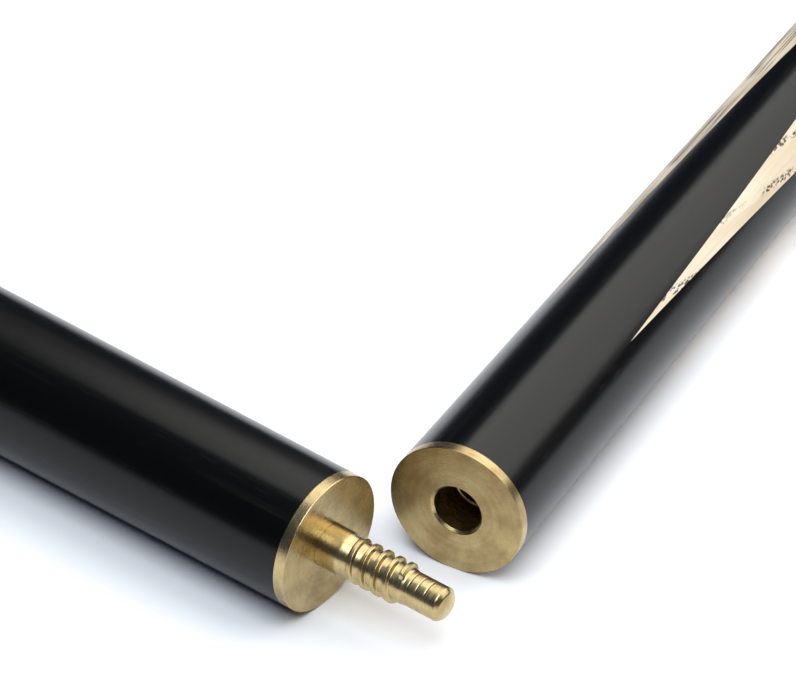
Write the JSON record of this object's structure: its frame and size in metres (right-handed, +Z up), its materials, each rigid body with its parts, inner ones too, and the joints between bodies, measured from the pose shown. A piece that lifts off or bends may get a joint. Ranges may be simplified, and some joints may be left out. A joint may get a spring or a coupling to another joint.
{
  "type": "jointed pool cue",
  "caption": "Two-piece tapered ash cue with four ebony splices, unscrewed at its brass screw joint and laid down in a V.",
  "frame": {"origin": "point on the table under the centre of the shaft section's joint face", "axes": "+Z up from the table; +X horizontally along the shaft section, from its joint face to its tip; +Y to the side where the butt section lies"},
  "size_m": [1.0744, 0.4303, 0.0301],
  "materials": {
    "ash": "satin, open grain",
    "ebony": "satin lacquer",
    "brass": "turned, lightly worn",
    "leather": "pressed, matte",
    "rubber": "matte",
    "steel": "zinc plated"
  },
  "bodies": {
    "shaft_section": {"leather_tip": "leather", "tip_ferrule": "brass", "ash_shaft": "ash", "joint_socket": "brass", "shaft_splice_top": "ebony", "shaft_splice_bottom": "ebony", "shaft_splice_left": "ebony", "shaft_splice_right": "ebony"},
    "balance_weight": {"weight_bolt": "steel"},
    "collar_ring": {"pin_collar": "brass"},
    "butt_section": {"joint_pin": "brass", "pin_insert": "brass", "butt_core": "ash", "butt_splice_top": "ebony", "butt_splice_bottom": "ebony", "butt_splice_left": "ebony", "butt_splice_right": "ebony", "rubber_bumper": "rubber", "bumper_screw": "steel", "bumper_washer": "steel"}
  },
  "joints": [
    {"name": "joint_swing", "type": "hinge", "parent": "shaft_section", "child": "balance_weight", "pos_m": [-0.01775, 0.00299, 0], "axis": [-0.0234, 0.0307, 0.9993], "range_deg": [0, 99.56]},
    {"name": "draw_in", "type": "slide", "parent": "balance_weight", "child": "collar_ring", "axis": [-0.1649, -0.9863, -0.005], "range_m": [0, 0.02895]},
    {"name": "thread_turn", "type": "hinge", "parent": "collar_ring", "child": "butt_section", "pos_m": [-0.0196, 0.01474, 0.013], "axis": [-0.1649, -0.9863, -0.005], "range_deg": [0, 4103.15]}
  ],
  "couplings": [
    {"joint": "thread_turn", "follows": "draw_in", "rad_per_m": 2473.7}
  ]
}
